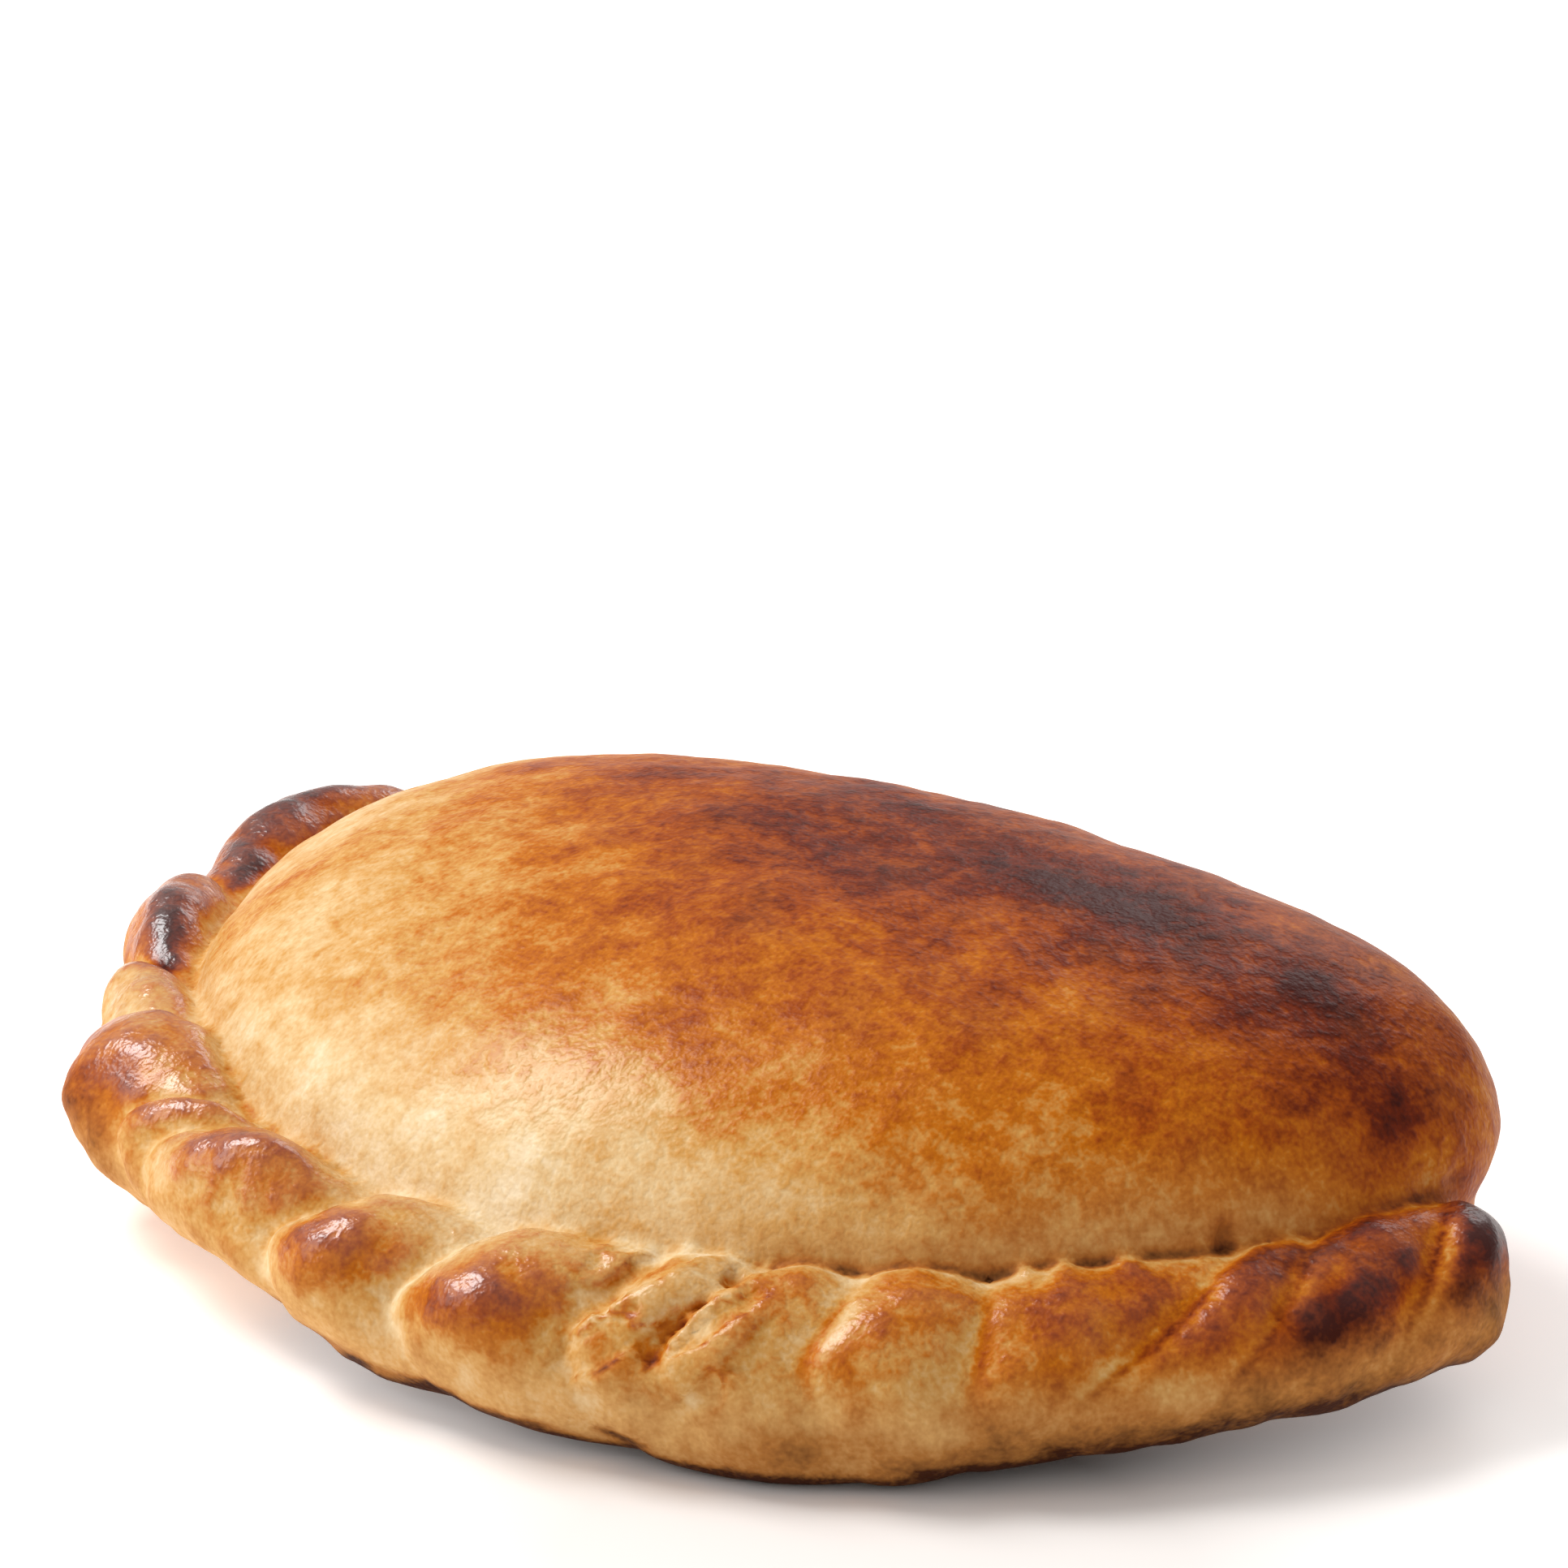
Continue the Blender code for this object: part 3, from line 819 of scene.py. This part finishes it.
def crease_browning(angle, around):
    """The brown line in each crease, and the pale one on the tight dough beside it."""
    _, start, end = pleat_at(angle, around)
    gap = np.radians(np.minimum(angle - start, end - angle)) * SEAM_R
    line = np.exp(-(gap / LINE_WIDE) ** 2)
    line = line * window(angle, *LINE_ALONG) * window(around, *LINE_AROUND)
    step = np.radians(angle - start) * SEAM_R
    tight = np.exp(-((step - TIGHT_AT) / TIGHT_WIDE) ** 2) * window(around, *TIGHT_AROUND)
    tight *= sum(window(angle, *part) for part in TIGHT_ALONG)
    return LINE_BROWN * line - TIGHT_PALE * tight


def rope_browning(points):
    """Browning of the rope: the pleats, their creases, then the spots."""
    angle, around, _ = rim_place(points)
    brown = crest_browning(angle, around) + crease_browning(angle, around)
    for spot_angle, spot_around, wide, long, heat in ROPE_SPOTS:
        reach = ((angle - spot_angle) / wide) ** 2 + ((around - spot_around) / long) ** 2
        brown += heat * np.exp(-reach)
    return brown


crests = [row[0] for row in PLEAT_HEAT]
print("crests of the pleats brown from", min(crests), "to", max(crests))

# %% [markdown]
# ## Bulges and hollows
#
# Crests go dark and hollows stay pale, so the relief of the skin has to be measured. A point that
# stands proud of a smoothed copy of the skin is on a bulge. A few passes of smoothing take out the
# small folds and many passes take out whole pleats, so two copies show both sizes.

# %% Bulges and hollows
FINE_PASSES = 12
BROAD_PASSES = 60
ROPE_EDGE = 1.6  # mm beside the rope over which its crust gives way to the dome's
CREVICE_SHADE_WIDE = 0.8  # mm, width of the painted shade in the crevice


def bulge(passes):
    """How far each point stands proud of a smoothed copy of the skin, mm."""
    return ((skin - smoothed(skin, ends, passes)) * normals).sum(axis=1)


normals = rows(empanada.data.vertices, "normal", 3)
height = skin[:, 2]
facing_up = normals[:, 2]
fine = bulge(FINE_PASSES)
broad = bulge(BROAD_PASSES)
angle, around, _ = rim_place(skin)
gap = gap_to_rope(skin)
on_rope = close_to(gap, ROPE_EDGE)
# where painted shade darkens the crevice
crevice_shade = in_crevice(skin, CREVICE_SHADE_WIDE)
print("small folds stand out by", fine.max().round(2), "mm and pleats by", broad.max().round(2))

# %% [markdown]
# ## Browning of the whole crust
#
# The dome's amount and the rope's are blended beside the rope, over a wider band at its two ends, where
# it runs into the fold. Then come the relief, the dark edges of the flakes, the pale lip beside the
# filling, painted shade in the crevice, darkest in front, and the burnt pits.

# %% Browning of the crust
ENDS_FADE = 8.0  # how much wider the band is at the ends, mm
ENDS_MIDDLE = -10.0  # angle halfway between the ends
ENDS_FROM = 74.0  # the band widens from this far round from there
ENDS_SPAN = 20.0
FOLD_PROUD = 0.3  # mm, how proud a small fold is for the full amounts below
FOLD_LIMITS = (-0.2, 0.4)  # least and most of it that counts
FOLD_DOME = 0.15  # browning of a small fold on the dome
FOLD_ROPE = 0.25  # and on the rope
DENT_FROM = 0.08  # a small dent on the rope browns too, from this depth in mm
DENT_MOST = 0.3  # up to this much more
DENT_BROWN = 0.9  # for each mm
PLEAT_PROUD = 0.6  # mm, how proud a whole pleat is for the full amount
PLEAT_BROWN = 0.06
TORN_EDGE = 0.9  # browning of the edges of the flakes
TORN_TOP = 0.10  # and how much paler their tops are
LIP_PALE = 0.32  # how much paler the lip beside the filling is
LIP_PALE_SPAN = 8.0  # degrees round the rope
LIP_PALE_ALONG = (16.0, 62.0, 8.0)  # angles along the rim
CREVICE_SHADE = 0.04  # painted shade in the crevice
CREVICE_SHADE_FRONT = 0.60  # and at the front, where it is darkest
FRONT_ALONG = (22.0, 75.0, 20.0)
PIT_BROWN = 0.6


def relief_browning():
    """Browning of small folds, of dents and of whole pleats."""
    folds = (fine / FOLD_PROUD).clip(*FOLD_LIMITS) * blend(FOLD_DOME, FOLD_ROPE, on_rope)
    dents = DENT_BROWN * (-fine - DENT_FROM).clip(0.0, DENT_MOST) * on_rope
    return folds + dents + PLEAT_BROWN * (broad / PLEAT_PROUD).clip(-1.0, 1.0) * on_rope


band = ROPE_EDGE + ENDS_FADE * rising(np.abs(angle - ENDS_MIDDLE), ENDS_FROM, ENDS_SPAN)
brown = blend(rope_browning(skin), dome_browning(skin), ease(gap / band))
lip = np.exp(-((around - LIP_AT) / LIP_PALE_SPAN) ** 2) * window(angle, *LIP_PALE_ALONG)
brown = brown + relief_browning() - LIP_PALE * lip * on_rope
torn, flake = flakes(skin)
brown += torn * (TORN_EDGE * flake * (1.0 - flake) - TORN_TOP * flake)
in_front = window(angle, *FRONT_ALONG)
# painted shade in the crevice, strongest in front
brown += crevice_shade * blend(CREVICE_SHADE, CREVICE_SHADE_FRONT, in_front)
for *pit, _ in PITS:
    brown += PIT_BROWN * in_pit(skin, *pit)
print("browning so far from", brown.min().round(2), "to", brown.max().round(2))

# %% [markdown]
# ## Toasted from below, with painted shade
#
# The hot tray toasts what lies on it, and the same low places that face down are also darkened as
# painted shade. The low edge is darkened, more so at the front right, the sole is dark all over, and
# where the rope curls in under itself a nearly black line of painted shade shows. Each is told by how
# high a point is and how far it faces down. Last come uneven patches all over.

# %% Toasted from below, with painted shade
RIGHT_FROM = (24.0, 26.0)  # angle along the rim from which it is the front right
TOAST_SHADE_TOP = (5.0, 8.0)  # mm, how high the toast and painted shade reach, and at the front right
TOAST_SHADE_SOFT = 4.0  # mm over which it fades
TOAST_SHADE_FACING = (0.3, 0.6)  # most that a toasted and shaded point faces up
TOAST_SHADE_BROWN = 0.86
TOAST_SHADE_LEFT = 0.22  # share of it away from the front right
SOLE_TOP = (1.8, 1.0)  # mm, the same for the sole, toasted and painted shade
SOLE_FACING = (-0.1, 0.4)
SOLE_TOAST_AND_SHADE = 1.0
UNDER_TOP = (6.0, 3.0)  # mm, the same for the line of painted shade under the rope
UNDER_FACING = (-0.44, 0.25)
UNDER_FROM = (-24.0, 10.0)  # angle along the rim from which it runs
UNDER_SHADE_BROWN = 1.05  # past 1, so that the patches don't lighten it
PATCHES = ((9.0, 0.05, 3.0), (4.0, 0.05, 13.0))  # layers of noise

at_right = rising(angle, *RIGHT_FROM)
# toast from the tray and painted shade on the low edge, more at the front right
toast_and_shade = falling(height, blend(*TOAST_SHADE_TOP, at_right), TOAST_SHADE_SOFT) * falling(facing_up, *TOAST_SHADE_FACING)
brown = blend(brown, TOAST_SHADE_BROWN, toast_and_shade * blend(TOAST_SHADE_LEFT, 1.0, at_right))
# the sole: toast from the tray and painted shade
sole = falling(height, *SOLE_TOP) * falling(facing_up, *SOLE_FACING)
brown = blend(brown, SOLE_TOAST_AND_SHADE, sole)
# painted shade: a nearly black line where the rope curls in under itself
under = falling(facing_up, *UNDER_FACING) * falling(height, *UNDER_TOP) * rising(angle, *UNDER_FROM)
brown = blend(brown, UNDER_SHADE_BROWN, under * on_rope)
brown += waves(skin, PATCHES)
print("sole covers", int((sole > 0.5).sum()), "of", len(skin), "points")

# %% [markdown]
# ## Egg wash and glaze
#
# The brush reaches the dome and the crests of the rope, but hardly the skirt, where the dough stays
# bare, dull and fawn. The foot of the dome in front and the crevice lose their wash too, and the foot is
# browned further: painted shade from the rope's lip, darker and greyer. Where the egg ran together it
# dried to a thick glaze, on the crests of the rope and in one soft patch on the dome.
# The three amounts are kept on the mesh's points as attributes, which the material reads.

# %% Egg wash and glaze
WASH_AROUND = (-15.0, 60.0)  # angle round the rope from which it is washed
WASH_LOW = (1.0, 5.0)  # height from which it is washed, mm
WASH_PATCHES = ((5.0, 0.10, 31.0),)  # a layer of noise
FOOT_WIDE = 5.0  # mm, the foot of the dome beside the rope, darkened as painted shade
FOOT_ALONG = (14.0, 66.0, 10.0)
FOOT_SHADE_BARE = 0.8  # share of the wash taken away there and in the crevice, which greys the painted shade
FOOT_SHADE_BROWN = 0.42  # browning that the painted shade on the foot tends to
FOOT_SHARE = 0.6  # and how far
GLAZE_FROM = (20.0, 40.0)  # angle round the rope from which it is glazed
GLAZE_TO = (150.0, 40.0)  # and up to which
GLAZE_PROUD = (-0.05, 0.15)  # mm, how proud a glazed point is
GLAZE_RIGHT = (14.0, 90.0, 8.0)  # angles along the rim with less of it
GLAZE_LESS = 0.45
GLAZE_DOME = 0.04  # thin film on the dome
# where the egg ran together on the dome: x, y, half width, half depth in mm, turn, how thick
GLAZE_SPOT = (5.0, -21.0, 9.0, 4.0, 15.0, 0.26)

# painted shade: the foot of the dome beside the rope in front, darker and greyer
shaded_foot = np.exp(-(gap / FOOT_WIDE) ** 2) * window(angle, *FOOT_ALONG) * (1.0 - on_rope)
brown = blend(brown, FOOT_SHADE_BROWN, FOOT_SHARE * shaded_foot)
wash = blend(1.0, rising(around, *WASH_AROUND), on_rope) * rising(height, *WASH_LOW)
wash = wash * (1.0 - FOOT_SHADE_BARE * shaded_foot) * (1.0 - FOOT_SHADE_BARE * crevice_shade * in_front)
wash += waves(skin, WASH_PATCHES)
glaze = on_rope * rising(around, *GLAZE_FROM) * falling(around, *GLAZE_TO)
glaze = glaze * rising(fine, *GLAZE_PROUD) * blend(1.0, GLAZE_LESS, window(angle, *GLAZE_RIGHT))
film = GLAZE_DOME + plan_spot(skin, *GLAZE_SPOT)
glaze += film * (1.0 - on_rope) * (1.0 - shaded_foot)
for name, values in (("browning", brown), ("egg_wash", wash), ("glaze", glaze)):
    layer = empanada.data.attributes.new(name, "FLOAT", "POINT")
    layer.data.foreach_set("value", values.clip(0.0, 1.0).astype(np.float32))
    print(name, "is", values.mean().round(2), "on average")

# %% [markdown]
# ## Colours and nodes
#
# Baked dough goes from cream through gold and orange to dark red-brown, because sugars brown and
# then char. Dough brushed with egg is more orange, and bare dough is greyer, so each has a ramp of
# colours. They are written as they look on a screen, and one function turns them into the linear
# values that Blender computes with.

# %% Colours and nodes
WASHED = ((0.0, "f2dcb8"), (0.20, "e2c08c"), (0.40, "d0984e"), (0.55, "c06a08"),
          (0.70, "9e4604"), (0.85, "6e2404"), (1.0, "401006"))
BARE = ((0.0, "ecd2a4"), (0.35, "d6a464"), (0.65, "b07438"), (1.0, "44200c"))


def linear(code):
    """Linear colour of an sRGB hex code."""
    parts = [int(code[i:i + 2], 16) / 255.0 for i in (0, 2, 4)]
    return tuple(c / 12.92 if c <= 0.04045 else ((c + 0.055) / 1.055) ** 2.4 for c in parts) + (1.0,)


def add_node(tree, kind, inputs=(), **settings):
    """Add a node, set its properties, and set or link its inputs."""
    node = tree.nodes.new(kind)
    for key, value in settings.items():
        setattr(node, key, value)
    for target, source in dict(inputs).items():
        if isinstance(source, bpy.types.NodeSocket):
            tree.links.new(source, node.inputs[target])
        else:
            node.inputs[target].default_value = source
    return node


def fill_ramp(ramp, stops):
    """Give a ColorRamp its stops."""
    elements = ramp.color_ramp.elements
    elements[0].position, elements[0].color = stops[0][0], linear(stops[0][1])
    elements[1].position, elements[1].color = stops[-1][0], linear(stops[-1][1])
    for place, code in stops[1:-1]:
        elements.new(place).color = linear(code)


print("well browned washed dough, linear:", [round(value, 3) for value in linear(WASHED[3][1])])

# %% [markdown]
# ## The crust: colour
#
# The browning on the points is as fine as the mesh. What is finer is drawn by three noises in
# object space, so that it stays with the piece: bubbles under the skin, blotches of heat, and the
# grain of the flour. They only shift the browning before it is looked up in the ramps, because a
# bubble lifts the skin nearer to the heat.

# %% Crust colour
# size in mm, how far it shifts the browning from lightest to darkest, detail, roughness
NOISES = {
    "bubbles": (1.43, 0.36, 2.0, 0.55),
    "blotches": (5.26, 0.28, 2.0, 0.5),
    "grain": (0.455, 0.24, 1.0, 0.5),  # flour is finer than can be drawn, so this is coarser
}

material = bpy.data.materials.new("egg_washed_baked_dough")
material.use_nodes = True
tree = material.node_tree
shader = tree.nodes["Principled BSDF"]
here = add_node(tree, "ShaderNodeTexCoord").outputs["Object"]
browned = add_node(tree, "ShaderNodeAttribute", attribute_name="browning").outputs["Fac"]
pattern = {}
for name, (size, share, detail, rough) in NOISES.items():
    pattern[name] = add_node(tree, "ShaderNodeTexNoise", {
        "Vector": here, "Scale": 1.0 / (size * MM), "Detail": detail, "Roughness": rough}).outputs["Fac"]
    shift = add_node(tree, "ShaderNodeMath", {0: pattern[name], 1: share, 2: -0.5 * share},
                     operation="MULTIPLY_ADD").outputs[0]
    browned = add_node(tree, "ShaderNodeMath", {0: browned, 1: shift}, operation="ADD").outputs[0]
washed_ramp = add_node(tree, "ShaderNodeValToRGB", {"Fac": browned})
fill_ramp(washed_ramp, WASHED)
bare_ramp = add_node(tree, "ShaderNodeValToRGB", {"Fac": browned})
fill_ramp(bare_ramp, BARE)
washed = add_node(tree, "ShaderNodeAttribute", attribute_name="egg_wash").outputs["Fac"]
colour = add_node(tree, "ShaderNodeMix", {
    0: washed, 6: bare_ramp.outputs["Color"], 7: washed_ramp.outputs["Color"]}, data_type="RGBA")
tree.links.new(colour.outputs[2], shader.inputs["Base Color"])
print("crust colour uses", len(tree.nodes), "nodes")

# %% [markdown]
# ## The crust: gloss and relief
#
# Bare crust is rough and hardly mirrors: a faint wide sheen, a little tighter where egg was
# brushed on. The dried glaze is a clear skin over it, which is what the shader's coat is, and gives
# the small bright streaks on the crests. The bubbles and the grain push the surface out by tenths
# of a millimetre, which breaks the streaks up.

# %% Crust gloss and relief
# wide soft highlights on bare dough, narrower ones from a little egg wash on
dull = add_node(tree, "ShaderNodeMapRange", {
    "Value": washed, "From Min": 0.2, "From Max": 1.0, "To Min": 0.62, "To Max": 0.44})
gloss = add_node(tree, "ShaderNodeAttribute", attribute_name="glaze")
tree.links.new(dull.outputs["Result"], shader.inputs["Roughness"])
tree.links.new(gloss.outputs["Fac"], shader.inputs["Coat Weight"])
shader.inputs["Coat Roughness"].default_value = 0.25  # dried egg is smooth, but no mirror
shader.inputs["Coat IOR"].default_value = 1.65  # above egg's, for bright streaks
shader.inputs["IOR"].default_value = 1.45  # about that of starch and fat
shader.inputs["Specular IOR Level"].default_value = 0.09  # pores swallow most mirrored light
bubble_bump = add_node(tree, "ShaderNodeBump", {
    "Height": pattern["bubbles"], "Distance": 0.3 * MM, "Strength": 0.5})
grain_bump = add_node(tree, "ShaderNodeBump", {
    "Height": pattern["grain"], "Distance": 0.15 * MM, "Strength": 0.5,
    "Normal": bubble_bump.outputs["Normal"]})
tree.links.new(grain_bump.outputs["Normal"], shader.inputs["Normal"])
tree.links.new(grain_bump.outputs["Normal"], shader.inputs["Coat Normal"])
print("the finished crust has", len(tree.nodes), "nodes and", len(tree.links), "links")

# %% [markdown]
# ## The crust on the pastry
#
# The faces are shaded smooth except at sharp corners such as the edge of the sole. Then the piece is
# told what it rides on, and the plain part that it stands for is hidden.

# %% Crust on the pastry
SHARP = 60.0  # degrees between faces from which an edge stays sharp

only(empanada)
bpy.ops.object.shade_smooth_by_angle(angle=math.radians(SHARP))
empanada.data.materials.clear()
empanada.data.materials.append(material)
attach(empanada, "root")
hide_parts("empanada")
print(empanada.name, "has the material", empanada.data.materials[0].name)

# %% [markdown]
# ## Floor and room
#
# The pastry lies on a white sheet in an even white room. The sheet glows a little with painted light, as
# if lit from below, so that it stays white. The glow leaves out a round place in front of the pastry, a
# painted shadow where its own shade falls.

# %% Floor and room
PAINTED_GLOW = 0.34  # strength of the painted glow far from the pastry
PAINTED_SHADOW_AT = (46.0, -36.0, 0.0)  # middle of the painted shadow, the place without glow, mm
PAINTED_SHADOW_FROM = 22.0  # mm from there, where the glow begins
PAINTED_SHADOW_TO = 52.0  # and where it is full

bpy.ops.mesh.primitive_plane_add(size=6.0)
floor = bpy.context.object
floor.name = "floor"
paint = bpy.data.materials.new("matt_white_paint_with_painted_glow")
paint.use_nodes = True
sheet = paint.node_tree.nodes["Principled BSDF"]
sheet.inputs["Base Color"].default_value = linear("faf5f1")
sheet.inputs["Roughness"].default_value = 0.7  # so matt that nothing mirrors in it
sheet.inputs["Emission Color"].default_value = linear("fffcfb")
# painted light and painted shadow: the glow grows with distance from the shaded place
place = add_node(paint.node_tree, "ShaderNodeTexCoord").outputs["Object"]
away = add_node(paint.node_tree, "ShaderNodeVectorMath", {
    0: place, 1: tuple(value * MM for value in PAINTED_SHADOW_AT)}, operation="DISTANCE").outputs["Value"]
glow = add_node(paint.node_tree, "ShaderNodeMapRange", {
    "Value": away, "From Min": PAINTED_SHADOW_FROM * MM, "From Max": PAINTED_SHADOW_TO * MM,
    "To Min": 0.0, "To Max": PAINTED_GLOW}).outputs["Result"]
paint.node_tree.links.new(glow, sheet.inputs["Emission Strength"])
floor.data.materials.append(paint)
world = bpy.data.worlds.new("white_room")
world.use_nodes = True
room = world.node_tree.nodes["Background"]
room.inputs["Color"].default_value = linear("ffffff")
room.inputs["Strength"].default_value = 0.54
bpy.context.scene.world = world
bpy.context.scene.view_settings.view_transform = "Standard"
print("floor is", floor.dimensions.x, "m wide, in", paint.name)

# %% [markdown]
# ## Lamps
#
# The main lamp is high on the left, which models the dome and gives the soft patch of sheen on
# it. A second one far behind puts a sheen on top, and a third one fills the front of the rope.
# Each is a square lamp of about half a metre, because a large lamp throws soft shadows.

# %% Lamps
# (degrees round from the front, degrees up, watts, side of the lamp in m)
LAMPS = ((-82.0, 52.0, 5.6, 0.4), (-164.0, 28.0, 1.1, 0.4), (-45.0, 30.0, 1.8, 0.5))
LAMP_AWAY = 0.9  # m

for turn, rise, power, side in LAMPS:
    toward = direction(turn, rise)
    bpy.ops.object.light_add(type="AREA", location=toward * LAMP_AWAY)
    lamp = bpy.context.object
    lamp.rotation_euler = toward.to_track_quat("Z", "Y").to_euler()
    lamp.data.size = side
    lamp.data.energy = power
    print("lamp of", power, "W at m:", [round(value, 2) for value in lamp.location])
